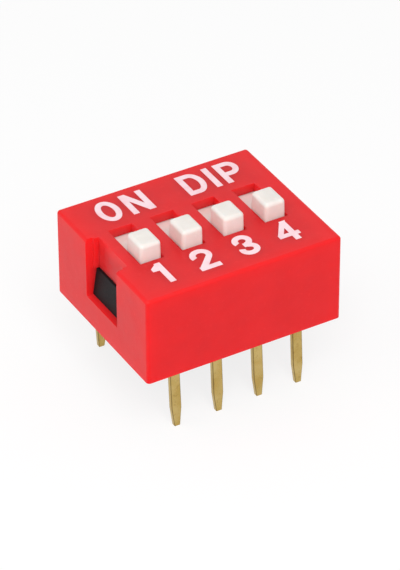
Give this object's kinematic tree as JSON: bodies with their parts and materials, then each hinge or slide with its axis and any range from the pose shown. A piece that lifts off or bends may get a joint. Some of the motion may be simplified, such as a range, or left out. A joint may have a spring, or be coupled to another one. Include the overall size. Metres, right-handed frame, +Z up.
{
  "type": "dip switch",
  "caption": "Board-mounted slide switch: a moulded housing with a row of sliding knobs over contact springs, standing on two rows of pins.",
  "frame": {"origin": "middle of the housing's underside, in the plane that seats on the board", "axes": "+X along the row from position 1 to 4, +Y from off to on, away from the numbered edge, +Z up out of the board"},
  "size_m": [0.012, 0.0098, 0.0103],
  "materials": {
    "cover_red": "satin moulded",
    "base_black": "matt moulded",
    "slider_white": "satin moulded",
    "gold_plate": "gold plated, satin",
    "seal_compound": "cast resin"
  },
  "bodies": {
    "housing": {"cover": "cover_red", "base": "base_black", "seal_front": "seal_compound", "seal_rear": "seal_compound", "terminal_1": "gold_plate", "terminal_2": "gold_plate", "terminal_3": "gold_plate", "terminal_4": "gold_plate", "terminal_5": "gold_plate", "terminal_6": "gold_plate", "terminal_7": "gold_plate", "terminal_8": "gold_plate"},
    "slider_1": {"slider_1": "slider_white", "contact_1": "gold_plate"},
    "slider_2": {"slider_2": "slider_white", "contact_2": "gold_plate"},
    "slider_3": {"slider_3": "slider_white", "contact_3": "gold_plate"},
    "slider_4": {"slider_4": "slider_white", "contact_4": "gold_plate"}
  },
  "joints": [
    {"name": "slide_1", "type": "slide", "parent": "housing", "child": "slider_1", "axis": [0, 1, 0], "range_m": [0, 0.00175]},
    {"name": "slide_2", "type": "slide", "parent": "housing", "child": "slider_2", "axis": [0, 1, 0], "range_m": [0, 0.00175]},
    {"name": "slide_3", "type": "slide", "parent": "housing", "child": "slider_3", "axis": [0, 1, 0], "range_m": [0, 0.00175]},
    {"name": "slide_4", "type": "slide", "parent": "housing", "child": "slider_4", "axis": [0, 1, 0], "range_m": [0, 0.00175]}
  ]
}
